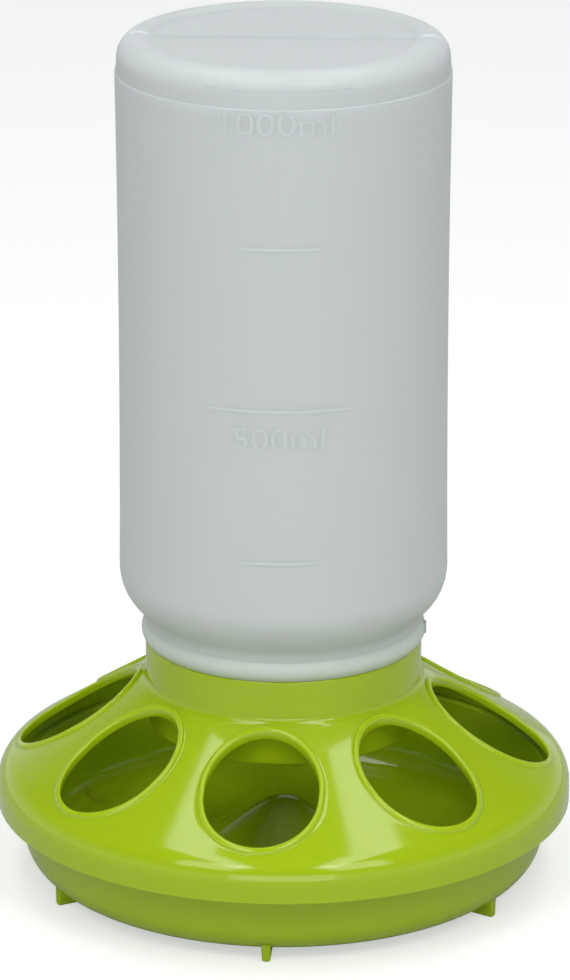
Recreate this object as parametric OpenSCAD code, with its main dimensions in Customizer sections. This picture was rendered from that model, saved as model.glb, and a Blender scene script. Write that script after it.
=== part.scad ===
// Gravity feeder for chicks: a blow-moulded jar stands neck down in the collar of a
// conical cover with eight feeding ports, and the cover sits on a round tray with feet.
// Origin: centre of the plane on which the feet stand. +Z up, millimetres.

/* [Jar] */
// Largest outer diameter of the jar body
jar_d = 88.4; // [84:0.2:94]
// Height of the jar above the collar rim
jar_h = 166.3; // [140:0.1:200]
// Wall thickness of the jar body
jar_wall = 1.2; // [0.8:0.1:1.8]
// How much the body draws in at its waist, on the radius
jar_waist = 0.45; // [0:0.05:1]
// Radius of the shoulder between body and neck
shoulder_r = 15; // [12:0.5:18]
// Radius of the rounded heel round the base
heel_r = 5.6; // [4:0.1:7]
// Height of the base cap above its parting step
heel_h = 9.3; // [8:0.1:14]
// How far the base cap steps in at its parting line
heel_step = 0.55; // [0.2:0.05:1]
// Depth of the recessed panel in the base
base_recess = 1; // [0.6:0.1:1.6]
// Width of the slope between base ring and recessed panel
base_slope_w = 3.5; // [2.5:0.1:5]
// Width of the two notches that cross the base ring at the parting line
notch_w = 1.6; // [1:0.1:3]
// Width of the pinch-off seam across the base
seam_w = 0.9; // [0.5:0.1:1.5]
// Height of the pinch-off seam
seam_h = 0.4; // [0.2:0.05:0.8]
// Angle at which the jar stops in its thread, from the first port
jar_turn = 3; // [-45:1:45]

/* [Neck] */
// Gap between neck and bore, which the threads fill
neck_gap = 0.5; // [0.4:0.05:1]
// Wall thickness of the neck
neck_wall = 1.5; // [1:0.1:2.5]
// Length of the neck below the collar rim
neck_len = 21; // [16:0.5:22]
// How far the bead stands out beyond the collar
bead_out = 1; // [0.6:0.1:2]
// Radius of the bead's bulge
bead_r = 3.7; // [3.4:0.1:4.5]
// Height of the bead
bead_h = 5.1; // [4.4:0.1:5.6]
// Height of the straight stretch between bead and hollow
hollow_h = 1.2; // [0.5:0.1:3]
// Radius of the hollow that leads into the shoulder
hollow_r = 4; // [3:0.1:6]
// Width of the stop lug on the bead
lug_w = 3; // [2:0.1:5]
// Height of the stop lug
lug_h = 2.8; // [2:0.1:4]
// How far the stop lug stands out from the bead
lug_out = 0.3; // [0.2:0.05:1]

/* [Cover] */
// Outer diameter of the cover's skirt
cover_d = 156.2; // [153:0.2:166]
// Wall thickness of the cover
cover_wall = 1.5; // [1.2:0.1:2]
// Slope of the conical top
cone_slope = 32.2; // [30:0.1:35]
// Radius of the rounded edge between cone and skirt
edge_r = 4.5; // [3:0.1:6]
// Height above the seat at which cone and skirt would meet
edge_h = 3.2; // [2.6:0.1:5]
// How far the skirt hangs below the seat
skirt_drop = 6; // [4:0.1:9]
// Width of the seat that rests on the tray
seat_w = 3.3; // [2.4:0.1:3.8]
// Height of the collar above the cone
collar_h = 11.4; // [9:0.1:14]
// Rounding of the collar's outer rim
collar_round = 0.8; // [0.4:0.1:1]
// Radius of the hollow where the collar meets the cone
collar_fillet = 2.5; // [1:0.1:3]
// Bore of collar and throat, without its thread
bore_d = 70; // [66:0.1:71]
// Wall thickness of the collar
collar_wall = 2.4; // [2:0.1:3]
// Wall thickness of the throat below the cone
throat_wall = 1.6; // [1.2:0.1:1.8]
// How far the throat hangs below the foot of the collar
throat_drop = 12.3; // [11:0.1:16]
// How far the cover stops turned against the tray
cover_turn = -2; // [-30:1:30]

/* [Ports] */
// Number of feeding ports
port_n = 8; // [4:1:8]
// Distance of the ports from the collar
port_foot = 3.05; // [2.8:0.05:6]
// Distance of the ports from the outside of the skirt
port_edge = 5.85; // [5.4:0.05:6.6]
// How much longer a port is along the radius than across it, seen from above
port_stretch = 1.6; // [0:0.1:4]
// Width of the raised lip round a port
lip_w = 1.6; // [1.2:0.1:1.8]
// Height of the lip above the cone
lip_h = 0.9; // [0.6:0.1:2]
// Size of the two small steps that round the lip off
lip_step = 0.3; // [0.2:0.05:0.5]

/* [Tray] */
// Gap between the tray's flange and the inside of the skirt
flange_gap = 0.4; // [0.3:0.05:1]
// Width of the flange outside the tray wall
flange_w = 2.95; // [2:0.05:4]
// Thickness of the flange
flange_t = 1.8; // [1.2:0.1:2.4]
// Depth of the tray from rim to underside
tray_h = 24.6; // [22:0.2:30]
// Wall thickness of the tray
tray_wall = 1.8; // [1.4:0.1:2.4]
// Draft of the tray wall
tray_draft = 8; // [4:0.5:12]
// Radius of the rounded bottom corner
corner_r = 10.1; // [8:0.1:13]
// Slope of the hollow spreader cone in the middle
spreader_slope = 37.6; // [30:0.2:42]
// Diameter of the spreader cone at the floor of the tray
spreader_d = 50; // [44:0.5:60]
// Radius of the spreader's rounded tip
tip_r = 12; // [8:0.5:15]

/* [Feet] */
// Number of feet
foot_n = 6; // [3:1:8]
// Height of the tray's underside above the floor
foot_h = 2.3; // [2:0.1:6]
// How far the feet stand inside the rim of the tray wall
foot_inset = 5.25; // [4:0.05:7]
// Length of a foot along the radius
foot_len = 10; // [8:0.2:14]
// Width of a foot where it leaves the tray
foot_w = 2.8; // [2.6:0.1:5]
// Width of a foot at its sole, before rounding
sole_w = 2.2; // [2.2:0.1:2.6]
// Rounding of a foot's lower edges
foot_round = 0.7; // [0.5:0.1:1]

/* [Hidden] */
$fn = 128;
ARC = 12;       // segments in a large rounded corner
SMALL_ARC = 5;  // segments in a small one
WAIST = 12;     // segments in the drawn-in body
PAST = 1;       // how far a cut runs past the face it leaves
FRONT = -90;    // direction of the first port and the first foot

// Points of an arc about [x, y] from angle a to angle b
function arc(x, y, r, a, b, n = ARC) =
    [for (i = [0:n]) let (t = a + (b - a) * i / n) [x + r * cos(t), y + r * sin(t)]];

// ------------------------------------------------------ shared levels

skirt_r = cover_d / 2;
bore_r = bore_d / 2;
collar_r = bore_r + collar_wall;
seat_z = foot_h + tray_h;
skirt_z = seat_z - skirt_drop;
cone_foot_z = seat_z + edge_h + (skirt_r - collar_r) * tan(cone_slope);
collar_z = cone_foot_z + collar_h;

// ---------------------------------------------------------------- jar

body_r = jar_d / 2;
neck_r = bore_r - neck_gap;
bead_x = collar_r + bead_out - bead_r;
bead_turn = asin(bead_h / 2 / bead_r);
bead_top_r = bead_x + bead_r * cos(bead_turn);

// The shoulder gives way to the hollow where the two arcs touch
shoulder_x = body_r - shoulder_r;
shoulder_turn = acos((bead_top_r + hollow_r - shoulder_x) / (shoulder_r + hollow_r));
hollow_x = bead_top_r + hollow_r;
hollow_z = bead_h + hollow_h;
shoulder_z = hollow_z + (shoulder_r + hollow_r) * sin(shoulder_turn);

step_z = jar_h - heel_h;
crest_x = body_r - heel_step - heel_r;
panel_r = crest_x - base_slope_w;
panel_z = jar_h - base_recess;

// The drawn-in body between shoulder and base cap, inset by t
function waist(t) =
    [for (i = [0:WAIST])
        let (u = 2 * i / WAIST - 1, z = shoulder_z + (step_z - shoulder_z) * i / WAIST)
        [body_r - t - jar_waist * (1 - u * u), z]];

// Everything from the hollow up to the base, inset by t
function upper_jar(t) = concat(
    arc(hollow_x, hollow_z, hollow_r + t, 180, 180 - shoulder_turn),
    arc(shoulder_x, shoulder_z, shoulder_r - t, -shoulder_turn, -shoulder_turn / ARC, ARC - 1),
    waist(t),
    arc(crest_x, jar_h - heel_r, heel_r - t, 0, 90),
    [[panel_r, panel_z - t], [0, panel_z - t]]
);

module jar_outside() {
    polygon(concat(
        [[0, -neck_len], [neck_r, -neck_len], [neck_r, 0]],
        arc(bead_x, bead_h / 2, bead_r, -bead_turn, bead_turn, SMALL_ARC),
        upper_jar(0)
    ));
}

module jar_inside() {
    polygon(concat(
        [[0, -neck_len - PAST], [neck_r - neck_wall, -neck_len - PAST], [neck_r - neck_wall, 0]],
        [[bead_top_r - jar_wall, bead_h]],
        upper_jar(jar_wall)
    ));
}

// Pinch-off seam across the base panel, along the parting line
module seam() {
    half_wall = jar_wall / 2;
    translate([-panel_r, -seam_w / 2, panel_z - half_wall])
        cube([2 * panel_r, seam_w, half_wall + seam_h]);
}

// Notch that crosses the base ring at the end of the parting line that faces the given way
module notch(way) {
    rotate([0, 0, way])
        translate([panel_r, -notch_w / 2, jar_h - base_recess / 2])
        cube([base_slope_w + heel_r, notch_w, base_recess]);
}

// Stop lug on the bead, at the parting line
module lug() {
    translate([neck_r, -lug_w / 2, (bead_h - lug_h) / 2])
        cube([bead_x + bead_r + lug_out - neck_r, lug_w, lug_h]);
}

module jar() {
    color([0.88, 0.91, 0.91])
    translate([0, 0, collar_z])
    rotate([0, 0, cover_turn + jar_turn])
    difference() {
        union() {
            rotate_extrude() jar_outside();
            seam();
            lug();
        }
        rotate_extrude() jar_inside();
        notch(0);
        notch(180);
    }
}

// -------------------------------------------------------------- cover

throat_r = bore_r + throat_wall;
throat_z = cone_foot_z - throat_drop;
skirt_in = skirt_r - cover_wall;
seat_in = skirt_in - seat_w;
under = cover_wall / cos(cone_slope);

// Height of the cone's surface at radius r
function cone_z(r) = cone_foot_z - (r - collar_r) * tan(cone_slope);

// Half section of the cover as if it were solid, with the cone raised by up
module cover_outside(up = 0) {
    edge_x = skirt_r - edge_r;
    edge_z = cone_z(edge_x) - edge_r / cos(cone_slope) + up;
    fillet_x = collar_r + collar_fillet;
    fillet_z = cone_z(fillet_x) + collar_fillet / cos(cone_slope) + up;
    rim_x = collar_r - collar_round;
    polygon(concat(
        [[0, skirt_z], [skirt_r, skirt_z]],
        arc(edge_x, edge_z, edge_r, 0, 90 - cone_slope),
        arc(fillet_x, fillet_z, collar_fillet, 270 - cone_slope, 180, SMALL_ARC),
        arc(rim_x, collar_z - collar_round, collar_round, 0, 90, SMALL_ARC),
        [[0, collar_z]]
    ));
}

// Half section of the hollow under the cone, outside the throat, down to the seat and skirt
module cover_inside() {
    polygon([
        [0, skirt_z - PAST],
        [skirt_in, skirt_z - PAST],
        [skirt_in, seat_z],
        [seat_in, seat_z],
        [seat_in, cone_z(seat_in) - under],
        [throat_r, cone_z(throat_r) - under],
        [throat_r, throat_z],
        [0, throat_z]
    ]);
}

port_in = collar_r + port_foot;
port_out = skirt_r - port_edge;
port_r = (port_out - port_in - port_stretch) / 2;

// Upright prism over a port's outline, grown by g: two half circles and a short straight
module port_prism(g) {
    r = port_r + g;
    translate([(port_in + port_out) / 2, 0, skirt_z])
    linear_extrude(collar_z - skirt_z) {
        translate([-port_stretch / 2, 0]) circle(r);
        translate([port_stretch / 2, 0]) circle(r);
        square([port_stretch, 2 * r], center = true);
    }
}

// Raised lip: a prism cut off along the slope of the cone, in two steps that round it off
module port_lip() {
    intersection() {
        port_prism(lip_w);
        rotate_extrude() cover_outside(lip_h - lip_step);
    }
    intersection() {
        port_prism(lip_w - lip_step);
        rotate_extrude() cover_outside(lip_h);
    }
}

module at_ports() {
    for (i = [0:port_n - 1]) rotate([0, 0, FRONT + i * 360 / port_n]) children();
}

module cover() {
    color([0.62, 0.74, 0.13])
    rotate([0, 0, cover_turn])
    difference() {
        union() {
            rotate_extrude() cover_outside();
            at_ports() port_lip();
        }
        rotate_extrude() cover_inside();
        translate([0, 0, throat_z - PAST]) cylinder(r = bore_r, h = collar_z - throat_z + 2 * PAST);
        at_ports() port_prism(0);
    }
}

// --------------------------------------------------------------- tray

flange_r = skirt_in - flange_gap;
rim_r = flange_r - flange_w;
floor_z = foot_h + tray_wall;

// Radius of the wall's outer face at height z
function wall_r(z) = rim_r - (seat_z - z) * tan(tray_draft);

corner_z = foot_h + corner_r;
corner_x = wall_r(corner_z - corner_r * sin(tray_draft)) - corner_r * cos(tray_draft);

// Half section up to the top of the corner, with its faces inset by t
function lower_tray(t) = concat(
    arc(0, tip_z, tip_r - tray_wall + t, 90, 90 - spreader_slope, SMALL_ARC),
    [[spreader_d / 2 - (tray_wall - t) * tan(spreader_slope / 2), foot_h + t]],
    arc(corner_x, corner_z, corner_r - t, -90, -tray_draft)
);
tip_z = floor_z + spreader_d / 2 * tan(spreader_slope) - tip_r / cos(spreader_slope);

// Half section of the tray as if it were filled to the rim
module tray_outside() {
    polygon(concat(
        lower_tray(0),
        [[wall_r(seat_z - flange_t), seat_z - flange_t], [flange_r, seat_z - flange_t]],
        [[flange_r, seat_z], [0, seat_z]]
    ));
}

// Half section of what the tray holds
module tray_inside() {
    top_z = seat_z + PAST;
    polygon(concat(
        lower_tray(tray_wall),
        [[wall_r(top_z) - tray_wall / cos(tray_draft), top_z], [0, top_z]]
    ));
}

foot_reach = rim_r - foot_inset;

// Foot seen from the side, along the radius
module foot_side() {
    inner = foot_reach - foot_len;
    polygon(concat(
        arc(inner + foot_round, foot_round, foot_round, 180, 270, SMALL_ARC),
        arc(foot_reach - foot_round, foot_round, foot_round, 270, 360, SMALL_ARC),
        [[foot_reach, corner_z], [inner, corner_z]]
    ));
}

// Foot seen end on: it widens upwards from a sole with rounded edges
module foot_end() {
    sole = sole_w / 2;
    leave_z = corner_z - sqrt(pow(corner_r, 2) - pow(foot_reach - corner_x, 2));
    top = sole + (foot_w - sole_w) / 2 * corner_z / leave_z;
    polygon(concat(
        arc(foot_round - sole, foot_round, foot_round, 180, 270, SMALL_ARC),
        arc(sole - foot_round, foot_round, foot_round, 270, 360, SMALL_ARC),
        [[top, corner_z], [-top, corner_z]]
    ));
}

module foot() {
    intersection() {
        rotate([90, 0, 0]) linear_extrude(2 * foot_w, center = true) foot_side();
        rotate([90, 0, 90]) linear_extrude(foot_reach + PAST) foot_end();
    }
}

module tray() {
    color([0.58, 0.70, 0.12])
    difference() {
        union() {
            rotate_extrude() tray_outside();
            for (i = [0:foot_n - 1]) rotate([0, 0, FRONT + i * 360 / foot_n]) foot();
        }
        rotate_extrude() tray_inside();
    }
}

jar();
cover();
tray();
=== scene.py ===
from math import acos, asin, atan2, cos, hypot, pi, radians, sin, sqrt, tan

import bmesh
import bpy
from mathutils import Matrix, Vector


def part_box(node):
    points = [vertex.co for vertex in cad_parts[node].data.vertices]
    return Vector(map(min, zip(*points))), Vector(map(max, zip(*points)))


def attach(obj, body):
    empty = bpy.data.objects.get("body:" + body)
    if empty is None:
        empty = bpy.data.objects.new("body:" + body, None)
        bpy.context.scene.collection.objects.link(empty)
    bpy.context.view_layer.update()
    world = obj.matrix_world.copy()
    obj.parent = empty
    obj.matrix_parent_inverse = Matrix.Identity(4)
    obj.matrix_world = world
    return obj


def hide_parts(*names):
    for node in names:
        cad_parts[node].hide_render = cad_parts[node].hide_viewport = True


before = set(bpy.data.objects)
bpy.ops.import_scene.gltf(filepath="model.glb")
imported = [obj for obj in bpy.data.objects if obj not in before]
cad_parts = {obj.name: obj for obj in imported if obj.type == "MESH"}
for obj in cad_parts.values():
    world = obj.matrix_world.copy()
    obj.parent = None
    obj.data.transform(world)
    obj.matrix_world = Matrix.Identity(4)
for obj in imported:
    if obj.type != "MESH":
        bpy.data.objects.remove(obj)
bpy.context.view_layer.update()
MM = 0.001

# ------------------------------------------------------------------ stand and light
# The feeder stands on a plain pale sheet in a photographer's tent. Two long soft lamps hang
# above it, left and right of the camera, and a third one behind the camera fills the front.

CAMERA_AZIMUTH = radians(-86.1)
CAMERA_PITCH = radians(18.65)
CAMERA_DISTANCE = 1.3425
AIM_HEIGHT = 0.10806
VIEW_DOWN = cos(CAMERA_PITCH)

camera = bpy.data.objects.new("camera", bpy.data.cameras.new("camera"))
bpy.context.collection.objects.link(camera)
camera.data.lens = 183.67
camera.data.sensor_width = 36
camera.data.shift_x = 0.0015
camera.location = (
    CAMERA_DISTANCE * VIEW_DOWN * cos(CAMERA_AZIMUTH),
    CAMERA_DISTANCE * VIEW_DOWN * sin(CAMERA_AZIMUTH),
    AIM_HEIGHT + CAMERA_DISTANCE * sin(CAMERA_PITCH),
)
camera.rotation_euler = (pi / 2 - CAMERA_PITCH, 0, CAMERA_AZIMUTH + pi / 2)
bpy.context.scene.camera = camera
bpy.context.scene.view_settings.view_transform = "Standard"


def lamp(name, place, aim, width, length, radiance):
    """A soft lamp that faces a point. Places are metres right of, beyond and above the feeder."""
    light = bpy.data.lights.new(name, "AREA")
    light.shape = "RECTANGLE"
    light.size = width
    light.size_y = length
    light.energy = radiance * pi * width * length
    to_room = Matrix.Rotation(CAMERA_AZIMUTH + pi / 2, 3, "Z")
    lit = bpy.data.objects.new(name, light)
    lit.location = to_room @ Vector(place)
    facing = to_room @ (Vector(aim) - Vector(place))
    lit.rotation_euler = facing.to_track_quat("-Z", "Y").to_euler()
    bpy.context.collection.objects.link(lit)
    return lit


for side, right in (("left", -1), ("right", 1)):
    strip = lamp("lamp_" + side, (0.355 * right, -0.365, 1.1), (0.355 * right, -0.365, 0), 0.2, 1.47, 3.6)
    strip.rotation_euler = (0, 0, CAMERA_AZIMUTH + pi / 2)
for side, right in (("left", -1), ("right", 1)):
    lamp("lamp_front_" + side, (0.7 * right, -1.08, 1.22), (0, 0, 0.05), 0.66, 0.66, 3)
lamp("lamp_fill", (0, -1.9, 0.4), (0, 0, 0.08), 1.4, 0.7, 1.7)


def new_material(name):
    material = bpy.data.materials.new(name)
    material.use_nodes = True
    material.node_tree.nodes.clear()
    return material


def add(material, kind, **sockets):
    """A node of the given kind with its inputs set by name, with _ for a space."""
    node = material.node_tree.nodes.new(kind)
    for name, value in sockets.items():
        node.inputs[name.replace("_", " ")].default_value = value
    return node


sheet_paper = new_material("sheet_paper")
paper_links = sheet_paper.node_tree.links
paper = add(sheet_paper, "ShaderNodeBsdfDiffuse", Color=(0.62, 0.62, 0.62, 1))
bright = add(sheet_paper, "ShaderNodeEmission", Color=(1, 1, 1, 1), Strength=0.52)
both = add(sheet_paper, "ShaderNodeAddShader")
path = add(sheet_paper, "ShaderNodeLightPath")
seen = add(sheet_paper, "ShaderNodeMixShader")
paper_end = add(sheet_paper, "ShaderNodeOutputMaterial")
paper_links.new(paper.outputs[0], both.inputs[0])
paper_links.new(bright.outputs[0], both.inputs[1])
paper_links.new(path.outputs["Is Camera Ray"], seen.inputs[0])
paper_links.new(paper.outputs[0], seen.inputs[1])
paper_links.new(both.outputs[0], seen.inputs[2])
paper_links.new(seen.outputs[0], paper_end.inputs["Surface"])

sheet = bmesh.new()
bmesh.ops.create_grid(sheet, x_segments=1, y_segments=1, size=4)
sheet_mesh = bpy.data.meshes.new("paper_sheet")
sheet.to_mesh(sheet_mesh)
sheet.free()
paper_sheet = bpy.data.objects.new("paper_sheet", sheet_mesh)
paper_sheet.data.materials.append(sheet_paper)
bpy.context.collection.objects.link(paper_sheet)

# The tent is even for diffuse light. What the gloss shows is bright near the horizon and dim above.
tent = bpy.data.worlds.new("tent")
tent.use_nodes = True
bpy.context.scene.world = tent
tent.node_tree.nodes.clear()
tent_links = tent.node_tree.links
even = add(tent, "ShaderNodeBackground", Color=(0.97, 0.99, 1, 1), Strength=0.46)
white = add(tent, "ShaderNodeBackground", Color=(1, 1, 1, 1), Strength=1)
shown = add(tent, "ShaderNodeBackground", Strength=1)
tent_path = add(tent, "ShaderNodeLightPath")
towards = add(tent, "ShaderNodeTexCoord")
split = add(tent, "ShaderNodeSeparateXYZ")
height = add(tent, "ShaderNodeValToRGB")
height.color_ramp.elements[0].position = 0.1
height.color_ramp.elements[0].color = (0.9, 0.92, 0.95, 1)
height.color_ramp.elements[1].position = 0.5
height.color_ramp.elements[1].color = (0.1, 0.1, 0.1, 1)
for_gloss = add(tent, "ShaderNodeMixShader")
for_camera = add(tent, "ShaderNodeMixShader")
tent_end = add(tent, "ShaderNodeOutputWorld")
tent_links.new(towards.outputs["Generated"], split.inputs[0])
tent_links.new(split.outputs["Z"], height.inputs["Fac"])
tent_links.new(height.outputs["Color"], shown.inputs["Color"])
tent_links.new(tent_path.outputs["Is Glossy Ray"], for_gloss.inputs[0])
tent_links.new(even.outputs[0], for_gloss.inputs[1])
tent_links.new(shown.outputs[0], for_gloss.inputs[2])
tent_links.new(tent_path.outputs["Is Camera Ray"], for_camera.inputs[0])
tent_links.new(for_gloss.outputs[0], for_camera.inputs[1])
tent_links.new(white.outputs[0], for_camera.inputs[2])
tent_links.new(for_camera.outputs[0], tent_end.inputs["Surface"])

# ------------------------------------------------------------------ tray
# One injection moulding in lime green polypropylene: a round wall with draft and a large
# bottom corner, a flange that the cover sits on, a hollow spreader cone that pushes the feed
# outwards, and six thin feet moulded on below. Polished mould, so the surface is glossy.

tray_low, tray_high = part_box("tray")
FLANGE_R = tray_high[0]
RIM_Z = tray_high[2]
TRAY_WALL = 1.8 * MM
FLANGE_T = 1.8 * MM
FLANGE_W = 2.95 * MM
FOOT_H = 2.3 * MM
DRAFT = radians(8)
CORNER_R = 10.1 * MM
SPREADER_R = 27.7 * MM
SPREADER_SLOPE = radians(32.2)
TIP_R = 12 * MM
WALL_TOP_R = FLANGE_R - FLANGE_W
EDGE = 0.35 * MM


def arc(x, z, r, start, end, n=8):
    """Points of an arc about (x, z), from one angle to another in radians."""
    return [(x + r * cos(start + (end - start) * i / n), z + r * sin(start + (end - start) * i / n))
            for i in range(n + 1)]


def turned(bm, geom, turn):
    """Copies geometry by a turn about the upright axis and returns old and new together."""
    copy = bmesh.ops.duplicate(bm, geom=geom)["geom"]
    bmesh.ops.rotate(bm, verts=[g for g in copy if isinstance(g, bmesh.types.BMVert)],
                     cent=(0, 0, 0), matrix=Matrix.Rotation(turn, 3, "Z"))
    return geom + copy


def sector(bm, outline, start, angle, steps):
    """Spins a section of (radius, height) points about the upright axis, over part of a turn."""
    old = len(bm.verts), len(bm.edges), len(bm.faces)
    corners = [bm.verts.new((r * cos(start), r * sin(start), z)) for r, z in outline]
    edges = [bm.edges.new(pair) for pair in zip(corners, corners[1:])]
    bmesh.ops.spin(bm, geom=corners + edges, cent=(0, 0, 0), axis=(0, 0, 1), angle=angle, steps=steps)
    return [g for kind, n in zip((bm.verts, bm.edges, bm.faces), old) for g in list(kind)[n:]]


def spun(bm, outline, steps):
    """Spins an eighth of a turn and copies it round."""
    geom = sector(bm, outline, 0, pi / 4, steps // 8)
    for eighths in (1, 2, 4):
        geom = turned(bm, geom, eighths * pi / 4)


def finished(bm, name, turn=0, crease=40):
    """Closes the seams of a mesh, points its faces outwards and makes it a smooth object."""
    bmesh.ops.remove_doubles(bm, verts=bm.verts, dist=0.002 * MM)
    bmesh.ops.dissolve_degenerate(bm, edges=bm.edges, dist=0.001 * MM)
    bmesh.ops.recalc_face_normals(bm, faces=bm.faces)
    bmesh.ops.rotate(bm, verts=bm.verts, cent=(0, 0, 0), matrix=Matrix.Rotation(turn, 3, "Z"))
    mesh = bpy.data.meshes.new(name)
    bm.to_mesh(mesh)
    bm.free()
    mesh.shade_smooth()
    mesh.set_sharp_from_angle(angle=radians(crease))
    made = bpy.data.objects.new(name, mesh)
    bpy.context.collection.objects.link(made)
    return made


def wall_r(z):
    return WALL_TOP_R - (RIM_Z - z) * tan(DRAFT)


corner_z = FOOT_H + CORNER_R
corner_x = wall_r(corner_z - CORNER_R * sin(DRAFT)) - CORNER_R * cos(DRAFT)
tray_floor = FOOT_H + TRAY_WALL
tip_z = tray_floor + SPREADER_R * tan(SPREADER_SLOPE) - TIP_R / cos(SPREADER_SLOPE)


def lower_tray(inset):
    """The section from the spreader's tip to the top of the corner, inset from outside."""
    foot_r = SPREADER_R - (TRAY_WALL - inset) * tan(SPREADER_SLOPE / 2)
    bend = 3 * MM + inset
    cut = bend * tan(SPREADER_SLOPE / 2)
    return (arc(0, tip_z, TIP_R - TRAY_WALL + inset, pi / 2, pi / 2 - SPREADER_SLOPE)
            + arc(foot_r + cut, FOOT_H + inset + bend, bend, -pi / 2 - SPREADER_SLOPE, -pi / 2)
            + arc(corner_x, corner_z, CORNER_R - inset, -pi / 2, -DRAFT, 16))


tray_bm = bmesh.new()
flange_low = RIM_Z - FLANGE_T
outside = (lower_tray(0)
           + arc(wall_r(flange_low) + EDGE, flange_low - EDGE, EDGE, pi - DRAFT, pi / 2, 3)
           + arc(FLANGE_R - EDGE, flange_low + EDGE, EDGE, -pi / 2, 0, 3)
           + arc(FLANGE_R - EDGE, RIM_Z - EDGE, EDGE, 0, pi / 2, 3))
inner_rim = wall_r(RIM_Z) - TRAY_WALL / cos(DRAFT)
inside = lower_tray(TRAY_WALL) + arc(inner_rim + EDGE, RIM_Z - EDGE, EDGE, pi - DRAFT, pi / 2, 3)
spun(tray_bm, outside + inside[::-1], 256)

FEET = 6
FOOT_REACH = WALL_TOP_R - 5.25 * MM
FOOT_LEN = 10 * MM
FOOT_W = 2.8 * MM
SOLE_W = 2.2 * MM


def hidden_z(r):
    """Height inside the thickness of the tray's wall, where a foot can end unseen."""
    return corner_z - sqrt((CORNER_R - TRAY_WALL / 2) ** 2 - max(r - corner_x, 0) ** 2)


for i in range(FEET):
    foot = bmesh.ops.create_cube(tray_bm, size=1)["verts"]
    bmesh.ops.scale(tray_bm, verts=foot, vec=(FOOT_LEN, FOOT_W, FOOT_H))
    bmesh.ops.translate(tray_bm, verts=foot, vec=(FOOT_REACH - FOOT_LEN / 2, 0, FOOT_H / 2))
    for v in foot:
        if v.co.z > FOOT_H / 2:
            v.co.z = hidden_z(v.co.x)
    sole = [v for v in foot if v.co.z < FOOT_H / 2]
    bmesh.ops.scale(tray_bm, verts=sole, vec=(1, SOLE_W / FOOT_W, 1))
    around = {e for v in sole for e in v.link_edges}
    rounded = bmesh.ops.bevel(tray_bm, geom=list(around), offset=0.7 * MM, segments=5,
                              profile=0.5, affect="EDGES", material=-1)
    foot = {v for f in rounded["faces"] for v in f.verts} | {v for v in foot if v.is_valid}
    bmesh.ops.rotate(tray_bm, verts=list(foot), cent=(0, 0, 0),
                     matrix=Matrix.Rotation(-pi / 2 + i * 2 * pi / FEET, 3, "Z"))

tray_shell = finished(tray_bm, "tray_shell")
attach(tray_shell, "tray")
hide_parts("tray")

# A glossy moulded surface is never quite even: it has a faint orange peel, small swirls in the
# pigment and a few scuffs. The group is shared by tray and cover.
moulded = bpy.data.node_groups.new("moulded_gloss", "ShaderNodeTree")
for label, kind in (("Colour", "NodeSocketColor"), ("Swirl", "NodeSocketColor"),
                    ("Gloss", "NodeSocketFloat"), ("Scuff", "NodeSocketFloat")):
    moulded.interface.new_socket(label, in_out="INPUT", socket_type=kind)
for label, kind in (("Colour", "NodeSocketColor"), ("Roughness", "NodeSocketFloat"),
                    ("Height", "NodeSocketFloat")):
    moulded.interface.new_socket(label, in_out="OUTPUT", socket_type=kind)
group_in = moulded.nodes.new("NodeGroupInput")
group_out = moulded.nodes.new("NodeGroupOutput")
place = moulded.nodes.new("ShaderNodeTexCoord")
pigment = moulded.nodes.new("ShaderNodeTexNoise")
pigment.inputs["Scale"].default_value = 22
pigment.inputs["Detail"].default_value = 3
pigment.inputs["Distortion"].default_value = 1.2
peel = moulded.nodes.new("ShaderNodeTexNoise")
peel.inputs["Scale"].default_value = 420
peel.inputs["Detail"].default_value = 1
scuffs = moulded.nodes.new("ShaderNodeTexNoise")
scuffs.inputs["Scale"].default_value = 60
scuffs.inputs["Detail"].default_value = 6
tint = moulded.nodes.new("ShaderNodeMix")
tint.data_type = "RGBA"
rough = moulded.nodes.new("ShaderNodeMix")
for texture in (pigment, peel, scuffs):
    moulded.links.new(place.outputs["Object"], texture.inputs["Vector"])
moulded.links.new(pigment.outputs["Fac"], tint.inputs["Factor"])
moulded.links.new(group_in.outputs["Colour"], tint.inputs["A"])
moulded.links.new(group_in.outputs["Swirl"], tint.inputs["B"])
moulded.links.new(scuffs.outputs["Fac"], rough.inputs["Factor"])
moulded.links.new(group_in.outputs["Gloss"], rough.inputs["A"])
moulded.links.new(group_in.outputs["Scuff"], rough.inputs["B"])
moulded.links.new(tint.outputs["Result"], group_out.inputs["Colour"])
moulded.links.new(rough.outputs["Result"], group_out.inputs["Roughness"])
moulded.links.new(peel.outputs["Fac"], group_out.inputs["Height"])


def lime_plastic(name, colour, swirl):
    """Lime green polypropylene off a polished mould."""
    material = new_material(name)
    links = material.node_tree.links
    skin = add(material, "ShaderNodeGroup")
    skin.node_tree = moulded
    skin.inputs["Colour"].default_value = colour
    skin.inputs["Swirl"].default_value = swirl
    skin.inputs["Gloss"].default_value = 0.07
    skin.inputs["Scuff"].default_value = 0.13
    relief = add(material, "ShaderNodeBump", Strength=0.08, Distance=0.0001)
    plastic = add(material, "ShaderNodeBsdfPrincipled", IOR=1.49, Subsurface_Weight=0.5,
                  Subsurface_Radius=(0.9, 1, 0.1), Subsurface_Scale=0.004)
    end = add(material, "ShaderNodeOutputMaterial")
    links.new(skin.outputs["Colour"], plastic.inputs["Base Color"])
    links.new(skin.outputs["Roughness"], plastic.inputs["Roughness"])
    links.new(skin.outputs["Height"], relief.inputs["Height"])
    links.new(relief.outputs["Normal"], plastic.inputs["Normal"])
    links.new(plastic.outputs["BSDF"], end.inputs["Surface"])
    return material


tray_shell.data.materials.append(
    lime_plastic("tray_lime", (0.34, 0.47, 0.006, 1), (0.36, 0.5, 0.008, 1)))

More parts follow.
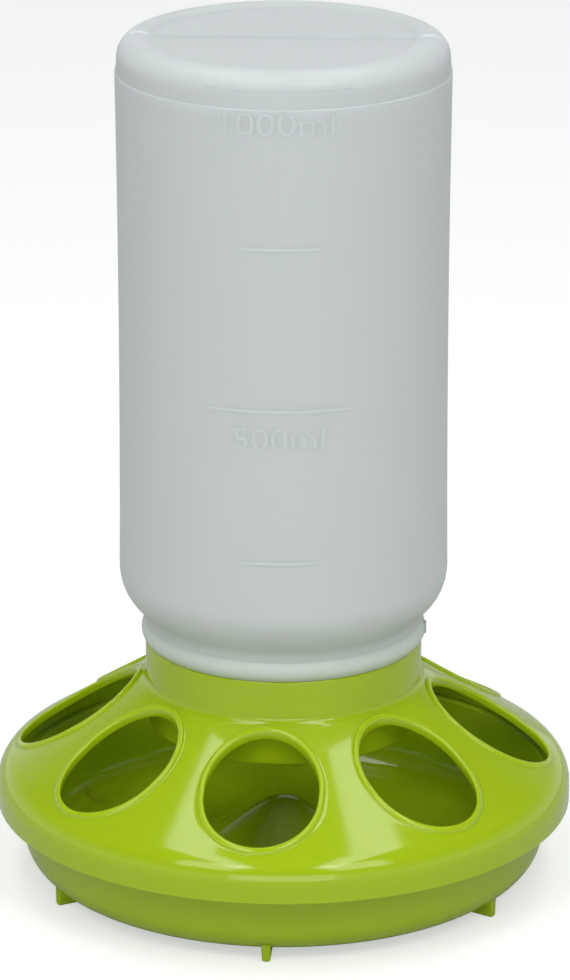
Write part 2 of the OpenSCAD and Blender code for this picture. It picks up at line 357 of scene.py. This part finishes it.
# ------------------------------------------------------------------ cover
# A second lime green moulding: collar and throat, a cone with eight feeding ports, each with a
# rounded lip that stiffens its edge, and a short skirt over the tray's flange. The ports are
# drawn straight up, so their walls are upright while the lips follow the cone.

cover_low, cover_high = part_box("cover")
SKIRT_Z = cover_low[2]
COLLAR_Z = cover_high[2]
SKIRT_R = 78.1 * MM
COVER_WALL = 1.5 * MM
SLOPE = radians(32.2)
EDGE_R = 8.1 * MM
EDGE_H = 3.2 * MM
SEAT_Z = RIM_Z
SEAT_W = 3.3 * MM
BORE_R = 35 * MM
COLLAR_R = BORE_R + 2.4 * MM
THROAT_R = BORE_R + 1.6 * MM
FILLET_R = 2.5 * MM
PORTS = 8
PORT_FOOT = 3.05 * MM
PORT_EDGE = 5.85 * MM
PORT_STRETCH = 1.6 * MM
SKIRT_IN = SKIRT_R - COVER_WALL
SEAT_IN = SKIRT_IN - SEAT_W
CONE_FOOT_Z = SEAT_Z + EDGE_H + (SKIRT_R - COLLAR_R) * tan(SLOPE)
THROAT_Z = CONE_FOOT_Z - 12.3 * MM
PORT_IN = COLLAR_R + PORT_FOOT
PORT_OUT = SKIRT_R - PORT_EDGE
PORT_X = (PORT_IN + PORT_OUT) / 2
PORT_R = (PORT_OUT - PORT_IN - PORT_STRETCH) / 2
FIRST_PORT = radians(-92)
RING_IN = COLLAR_R + 0.25 * MM
EDGE_X = SKIRT_R - EDGE_R
RING_OUT = EDGE_X + EDGE_R * sin(SLOPE)


def cone_z(r):
    return CONE_FOOT_Z - (r - COLLAR_R) * tan(SLOPE)


def top_z(r):
    """Height of the cover's upper surface, with the hollow that leads into the collar."""
    fillet_x = COLLAR_R + FILLET_R
    if r < fillet_x - FILLET_R * sin(SLOPE):
        fillet_z = cone_z(fillet_x) + FILLET_R / cos(SLOPE)
        return fillet_z - sqrt(max(FILLET_R ** 2 - (fillet_x - r) ** 2, 0))
    return cone_z(r)


def under_z(r):
    return cone_z(r) - COVER_WALL / cos(SLOPE)


def port_edge(turn, grow):
    """Distance from a port's middle to its outline, grown outwards, in a direction."""
    half = PORT_STRETCH / 2
    r = PORT_R + grow
    if abs(cos(turn)) * r <= half * abs(sin(turn)):
        return r / abs(sin(turn))
    return half * abs(cos(turn)) + sqrt(r ** 2 - (half * sin(turn)) ** 2)


RADIAL_STEPS = 24
OUTER_STEPS = 32
INNER_STEPS = 16
BORDER_STEPS = 2 * RADIAL_STEPS + OUTER_STEPS + INNER_STEPS


def border_loop(bm, r_in, r_out, level):
    """The border of one port's share of the ring, as a loop of edges with its points numbered."""
    points = bmesh.ops.create_circle(bm, segments=BORDER_STEPS, radius=1)["verts"]
    number = bm.verts.layers.int["number"]
    half = pi / PORTS
    for v in points:
        v[number] = round(atan2(v.co.y, v.co.x) / (2 * pi) * BORDER_STEPS) % BORDER_STEPS
        i = (v[number] + OUTER_STEPS // 2) % BORDER_STEPS
        if i <= OUTER_STEPS:
            r, turn = r_out, half * (2 * i / OUTER_STEPS - 1)
        elif i <= OUTER_STEPS + RADIAL_STEPS:
            r, turn = r_out + (r_in - r_out) * (i - OUTER_STEPS) / RADIAL_STEPS, half
        elif i <= BORDER_STEPS - RADIAL_STEPS:
            r, turn = r_in, half * (1 - 2 * (i - OUTER_STEPS - RADIAL_STEPS) / INNER_STEPS)
        else:
            r, turn = r_out + (r_in - r_out) * (BORDER_STEPS - i) / RADIAL_STEPS, -half
        v.co = (r * cos(turn), r * sin(turn), level(r))
    return list({e for v in points for e in v.link_edges})


def next_ring(bm, loop, grow, level, rise, share=1):
    """Extrudes a loop towards the port's outline grown by some width, at a level plus a rise."""
    number = bm.verts.layers.int["number"]
    fresh = {g for g in bmesh.ops.extrude_edge_only(bm, edges=loop)["geom"]
             if isinstance(g, bmesh.types.BMVert)}
    for v in fresh:
        turn = 2 * pi * v[number] / BORDER_STEPS
        reach = port_edge(turn, grow)
        x = PORT_X + reach * cos(turn)
        y = reach * sin(turn)
        v.co.x += (x - v.co.x) * share
        v.co.y += (y - v.co.y) * share
        v.co.z = level(hypot(v.co.x, v.co.y)) + rise
    return [e for e in {e for v in fresh for e in v.link_edges} if fresh.issuperset(e.verts)]


LIP_W = 1.5 * MM
LIP_H = 0.95 * MM
FIELD_RINGS = 8
cover_bm = bmesh.new()
cover_bm.verts.layers.int.new("number")

# From the border over the cone to the lip, over the lip and down the port's wall
lip_foot = 0.25 * MM
lip = (arc(LIP_W + lip_foot, lip_foot, lip_foot, -pi / 2, -pi, 3)
       + [(LIP_W / 2 * (1 + cos(pi * i / 16)), lip_foot + (LIP_H - lip_foot) * sin(pi * i / 16))
          for i in range(1, 17)])
loop = border_loop(cover_bm, RING_IN, RING_OUT, top_z)
for i in range(FIELD_RINGS):
    loop = next_ring(cover_bm, loop, lip[0][0], top_z, 0, 1 / (FIELD_RINGS - i))
for grow, rise in lip[1:]:
    loop = next_ring(cover_bm, loop, grow, top_z, rise)
upper_loop = loop

# From the border of the underside to the port's wall
under_round = 0.3 * MM
loop = border_loop(cover_bm, THROAT_R, SEAT_IN, under_z)
for i in range(FIELD_RINGS):
    loop = next_ring(cover_bm, loop, under_round, under_z, 0, 1 / (FIELD_RINGS - i))
for grow, rise in arc(under_round, under_round, under_round, -pi / 2, -pi, 3)[1:]:
    loop = next_ring(cover_bm, loop, grow, under_z, rise)
bmesh.ops.bridge_loops(cover_bm, edges=upper_loop + loop)

share = list(cover_bm.verts) + list(cover_bm.edges) + list(cover_bm.faces)
for shares in (1, 2, 4):
    share = turned(cover_bm, share, shares * 2 * pi / PORTS)

# Rounded edge, skirt and seat
edge_z = cone_z(EDGE_X) - EDGE_R / cos(SLOPE)
skirt = (arc(EDGE_X, edge_z, EDGE_R, pi / 2 - SLOPE, 0, 20)
         + arc(SKIRT_R - EDGE, SKIRT_Z + EDGE, EDGE, 0, -pi / 2, 4)
         + arc(SKIRT_IN + EDGE, SKIRT_Z + EDGE, EDGE, -pi / 2, -pi, 4)
         + [(SKIRT_IN, SEAT_Z)]
         + arc(SEAT_IN + EDGE, SEAT_Z + EDGE, EDGE, -pi / 2, -pi, 4)
         + [(SEAT_IN, under_z(SEAT_IN))])
spun(cover_bm, skirt, PORTS * OUTER_STEPS)

# Hollow, collar, bore and throat
fillet_x = COLLAR_R + FILLET_R
fillet_z = cone_z(fillet_x) + FILLET_R / cos(SLOPE)
rim = 0.8 * MM
lead = 0.5 * MM
hollow_start = -pi + acos((fillet_x - RING_IN) / FILLET_R)
collar = (arc(fillet_x, fillet_z, FILLET_R, hollow_start, -pi, 5)
          + arc(COLLAR_R - rim, COLLAR_Z - rim, rim, 0, pi / 2, 6)
          + arc(BORE_R + lead, COLLAR_Z - lead, lead, pi / 2, pi, 4)
          + arc(BORE_R + EDGE, THROAT_Z + EDGE, EDGE, -pi, -pi / 2, 4)
          + arc(THROAT_R - EDGE, THROAT_Z + EDGE, EDGE, -pi / 2, 0, 4)
          + [(THROAT_R, under_z(THROAT_R))])
spun(cover_bm, collar, PORTS * INNER_STEPS)

cover_shell = finished(cover_bm, "cover_shell", FIRST_PORT)
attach(cover_shell, "cover")
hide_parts("cover")
cover_shell.data.materials.append(
    lime_plastic("cover_lime", (0.36, 0.5, 0.006, 1), (0.385, 0.53, 0.008, 1)))

# ------------------------------------------------------------------ jar
# A one-litre bottle blown in milky polyethylene and used neck down: a plain neck where the real
# one has a screw thread, stop bead with a lug on the parting line, hollow and round shoulder, a
# body drawn in slightly at its waist, and a base cap that meets the body in a fine step.

jar_low, jar_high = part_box("jar")
NECK_LOW = jar_low[2]
JAR_TOP = jar_high[2]
JAR_WALL = 1.2 * MM
JAR_TURN = radians(1)
BODY_R = 44.2 * MM
WAIST = 0.45 * MM
NECK_R = 34.5 * MM
NECK_IN = NECK_R - 1.5 * MM
BEAD_R = 3.7 * MM
BEAD_H = 5.1 * MM
BEAD_X = COLLAR_R + 1 * MM - BEAD_R
HOLLOW_R = 4 * MM
HOLLOW_Z = COLLAR_Z + BEAD_H + 1.2 * MM
SHOULDER_R = 15 * MM
HEEL_R = 5.6 * MM
STEP_Z = JAR_TOP - 9.3 * MM
STEP = 0.55 * MM
PANEL_DEPTH = 1 * MM
PANEL_SLOPE_W = 3.5 * MM

bead_turn = asin(BEAD_H / 2 / BEAD_R)
bead_top_r = BEAD_X + BEAD_R * cos(bead_turn)
hollow_x = bead_top_r + HOLLOW_R
shoulder_x = BODY_R - SHOULDER_R
shoulder_turn = acos((hollow_x - shoulder_x) / (SHOULDER_R + HOLLOW_R))
shoulder_z = HOLLOW_Z + (SHOULDER_R + HOLLOW_R) * sin(shoulder_turn)
crest_x = BODY_R - STEP - HEEL_R
panel_r = crest_x - PANEL_SLOPE_W
panel_z = JAR_TOP - PANEL_DEPTH


def upper_jar(inset):
    """The jar's section from the hollow above its bead to the middle of its base."""
    waist = []
    for i in range(1, 41):
        u = i / 20 - 1
        z = shoulder_z + (STEP_Z - shoulder_z) * i / 40
        waist.append((BODY_R - inset - WAIST * (1 - u * u), z))
    step = []
    if inset == 0:
        round_r = 0.3 * MM
        step = arc(BODY_R - round_r, STEP_Z - round_r, round_r, 0, pi / 2, 4)
        waist = waist[:-1]
    slope = atan2(PANEL_DEPTH, PANEL_SLOPE_W)
    bend = 2.5 * MM
    panel = arc(panel_r - bend * tan(slope / 2), panel_z + bend - inset, bend, -pi / 2 + slope, -pi / 2, 5)
    return (arc(hollow_x, HOLLOW_Z, HOLLOW_R + inset, pi, pi - shoulder_turn, 12)
            + arc(shoulder_x, shoulder_z, SHOULDER_R - inset, -shoulder_turn, 0, 20)
            + waist + step
            + arc(crest_x, JAR_TOP - HEEL_R, HEEL_R - inset, 0, pi / 2 + slope, 18)
            + panel
            + [(r * panel_r / 10, panel_z - inset) for r in range(9, -1, -1)])


outside = (arc(NECK_R - EDGE, NECK_LOW + EDGE, EDGE, -pi / 2, 0, 4)
           + [(NECK_R, COLLAR_Z - EDGE)]
           + arc(BEAD_X, COLLAR_Z + BEAD_H / 2, BEAD_R, -bead_turn, bead_turn, 14)
           + upper_jar(0))
inside = (arc(NECK_IN + EDGE, NECK_LOW + EDGE, EDGE, -pi / 2, -pi, 4)
          + [(NECK_IN, COLLAR_Z), (bead_top_r - JAR_WALL, COLLAR_Z + BEAD_H)]
          + upper_jar(JAR_WALL))

# Finer steps near the parting line, where the notches are
jar_bm = bmesh.new()
section = outside + inside[::-1] + outside[:1]
half_fine = radians(4.5)
quarter = (pi - 2 * half_fine) / 4
geom = sector(jar_bm, section, half_fine, quarter, 24)
geom = turned(jar_bm, geom, quarter)
geom = turned(jar_bm, geom, 2 * quarter)
geom += sector(jar_bm, section, -half_fine, 2 * half_fine, 24)
turned(jar_bm, geom, pi)

# Notches where the parting line crosses the base ring, and the pinch-off seam between them
NOTCH_W = 2.2 * MM
NOTCH_Y = 0.7 * MM
NOTCH_DEPTH = 0.9 * MM
for v in jar_bm.verts:
    r = hypot(v.co.x, v.co.y)
    over_ring = panel_r - 1 * MM < r < BODY_R - STEP - 0.4 * MM
    if over_ring and v.co.z > JAR_TOP - HEEL_R:
        near = max(0, 1 - (abs(v.co.y - NOTCH_Y) / (NOTCH_W / 2)) ** 4)
        floor_z = JAR_TOP - PANEL_DEPTH
        if v.co.z > floor_z:
            v.co.z += (floor_z - v.co.z) * near

# Pinch-off seam across the base panel: a flattened round bead, half sunk in the wall
SEAM_W = 0.8 * MM
SEAM_H = 0.36 * MM
seam = bmesh.ops.create_cone(jar_bm, cap_ends=True, segments=12, radius1=SEAM_W / 2,
                             radius2=SEAM_W / 2, depth=2 * panel_r)["verts"]
bmesh.ops.rotate(jar_bm, verts=seam, cent=(0, 0, 0), matrix=Matrix.Rotation(pi / 2, 3, "Y"))
bmesh.ops.scale(jar_bm, verts=seam, vec=(1, 1, 2 * SEAM_H / SEAM_W))
bmesh.ops.translate(jar_bm, verts=seam, vec=(0, 0, panel_z))

# Stop lug on the bead, with its edges rounded
LUG_W = 3 * MM
LUG_H = 2.8 * MM
LUG_OUT = 0.3 * MM
lug_start = NECK_R + 1 * MM
lug_end = BEAD_X + BEAD_R + LUG_OUT
lug = bmesh.ops.create_cube(jar_bm, size=1)["verts"]
bmesh.ops.scale(jar_bm, verts=lug, vec=(lug_end - lug_start, LUG_W, LUG_H))
bmesh.ops.translate(jar_bm, verts=lug,
                    vec=((lug_start + lug_end) / 2, 0, COLLAR_Z + BEAD_H / 2))
bmesh.ops.bevel(jar_bm, geom=list({e for v in lug for e in v.link_edges}), offset=0.25 * MM,
                segments=3, profile=0.5, affect="EDGES", material=-1)

jar_shell = finished(jar_bm, "jar_shell", JAR_TURN)
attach(jar_shell, "jar")
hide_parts("jar")

milky = new_material("milky_polyethylene")
milky_links = milky.node_tree.links
on_jar = add(milky, "ShaderNodeTexCoord")
along = add(milky, "ShaderNodeSeparateXYZ")
# Painted shade and painted green bounce light from the lime cover: the jar's colour is darker and greener
# at the collar and fades to the milky polyethylene's own colour 11 mm above it.
collar_shade_fade = add(milky, "ShaderNodeMapRange", From_Min=COLLAR_Z, From_Max=COLLAR_Z + 11 * MM)
milk_and_collar_shade = add(milky, "ShaderNodeMix")
milk_and_collar_shade.data_type = "RGBA"
milk_and_collar_shade.inputs["A"].default_value = (0.56, 0.66, 0.53, 1)
milk_and_collar_shade.inputs["B"].default_value = (0.755, 0.825, 0.825, 1)
flow = add(milky, "ShaderNodeTexNoise", Scale=90, Detail=3)
satin = add(milky, "ShaderNodeMapRange", To_Min=0.36, To_Max=0.48)
ripple = add(milky, "ShaderNodeBump", Strength=0.12, Distance=0.0003)
milk = add(milky, "ShaderNodeBsdfPrincipled", IOR=1.5, Subsurface_Weight=0.5,
           Subsurface_Radius=(1, 1, 1), Subsurface_Scale=0.014)
milky_end = add(milky, "ShaderNodeOutputMaterial")
milky_links.new(on_jar.outputs["Object"], along.inputs[0])
milky_links.new(on_jar.outputs["Object"], flow.inputs["Vector"])
milky_links.new(along.outputs["Z"], collar_shade_fade.inputs["Value"])
milky_links.new(collar_shade_fade.outputs["Result"], milk_and_collar_shade.inputs["Factor"])
milky_links.new(milk_and_collar_shade.outputs["Result"], milk.inputs["Base Color"])
milky_links.new(flow.outputs["Fac"], satin.inputs["Value"])
milky_links.new(satin.outputs["Result"], milk.inputs["Roughness"])
milky_links.new(flow.outputs["Fac"], ripple.inputs["Height"])
milky_links.new(ripple.outputs["Normal"], milk.inputs["Normal"])
milky_links.new(milk.outputs["BSDF"], milky_end.inputs["Surface"])
jar_shell.data.materials.append(milky)

# ------------------------------------------------------------------ jar scale
# The jar's volume scale, raised in the blown wall itself: a line at each quarter of a litre, and
# plain figures at the half litre and the litre, upright while the jar stands on its neck.

SCALE_FACES = radians(-87.7)
RAISED = 0.05 * MM
SUNK = 0.3 * MM


def jar_r(z):
    """Radius of the jar's surface at a height on its body or its base cap."""
    heel_z = JAR_TOP - HEEL_R
    if z > heel_z:
        return crest_x + sqrt(HEEL_R ** 2 - (z - heel_z) ** 2)
    if z > STEP_Z:
        return BODY_R - STEP
    u = 2 * (z - shoulder_z) / (STEP_Z - shoulder_z) - 1
    return BODY_R - WAIST * (1 - u * u)


def scale_line(bm, z, length):
    """A half-round line of a given length round the front of the jar."""
    half = 0.5 * MM
    r = jar_r(z)
    section = ([(r - SUNK, z - half)]
               + [(r + RAISED * sin(pi * i / 6), z - half * cos(pi * i / 6)) for i in range(7)]
               + [(r - SUNK, z + half), (r - SUNK, z - half)])
    sector(bm, section, SCALE_FACES - length / r / 2, length / r, 20)


def figures(bm, text, z, width, tall):
    """Raised figures, made flat and then laid round the jar."""
    lettering = bpy.data.curves.new("scale_" + text, "FONT")
    lettering.body = text
    lettering.extrude = 0.5
    flat = bpy.data.objects.new("scale_" + text, lettering)
    shape = bpy.data.meshes.new_from_object(flat)
    old = len(bm.verts)
    bm.from_mesh(shape)
    fresh = list(bm.verts)[old:]
    low = [min(v.co[k] for v in fresh) for k in (0, 1)]
    size = [max(v.co[k] for v in fresh) - low[k] for k in (0, 1)]
    for v in fresh:
        up = z + ((v.co.y - low[1]) / size[1] - 0.5) * tall
        r = jar_r(up)
        turn = SCALE_FACES + ((v.co.x - low[0]) / size[0] - 0.5) * width / r
        r += RAISED if v.co.z > 0 else -SUNK
        v.co = (r * cos(turn), r * sin(turn), up)
    bpy.data.objects.remove(flat)
    bpy.data.curves.remove(lettering)
    bpy.data.meshes.remove(shape)


scale_bm = bmesh.new()
figures(scale_bm, "500ml", 136.4 * MM, 24 * MM, 6 * MM)
figures(scale_bm, "1000ml", 220.4 * MM, 29 * MM, 6 * MM)
for z, length in ((102.3, 21.5), (143.8, 39), (187.2, 21.5), (229, 39)):
    scale_line(scale_bm, z * MM, length * MM)
bmesh.ops.remove_doubles(scale_bm, verts=scale_bm.verts, dist=0.002 * MM)
bmesh.ops.holes_fill(scale_bm, edges=scale_bm.edges, sides=12)
jar_scale = finished(scale_bm, "jar_scale", 0, 50)
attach(jar_scale, "jar")

# The marks are too thin to scatter light as the wall does, so their plastic has none below its skin
scale_skin = new_material("scale_polyethylene")
on_scale = add(scale_skin, "ShaderNodeTexCoord")
scale_flow = add(scale_skin, "ShaderNodeTexNoise", Scale=90, Detail=3)
scale_satin = add(scale_skin, "ShaderNodeMapRange", To_Min=0.36, To_Max=0.48)
skin_milk = add(scale_skin, "ShaderNodeBsdfPrincipled", IOR=1.5, Base_Color=(0.57, 0.625, 0.62, 1))
scale_end = add(scale_skin, "ShaderNodeOutputMaterial")
scale_links = scale_skin.node_tree.links
scale_links.new(on_scale.outputs["Object"], scale_flow.inputs["Vector"])
scale_links.new(scale_flow.outputs["Fac"], scale_satin.inputs["Value"])
scale_links.new(scale_satin.outputs["Result"], skin_milk.inputs["Roughness"])
scale_links.new(skin_milk.outputs["BSDF"], scale_end.inputs["Surface"])
jar_scale.data.materials.append(scale_skin)
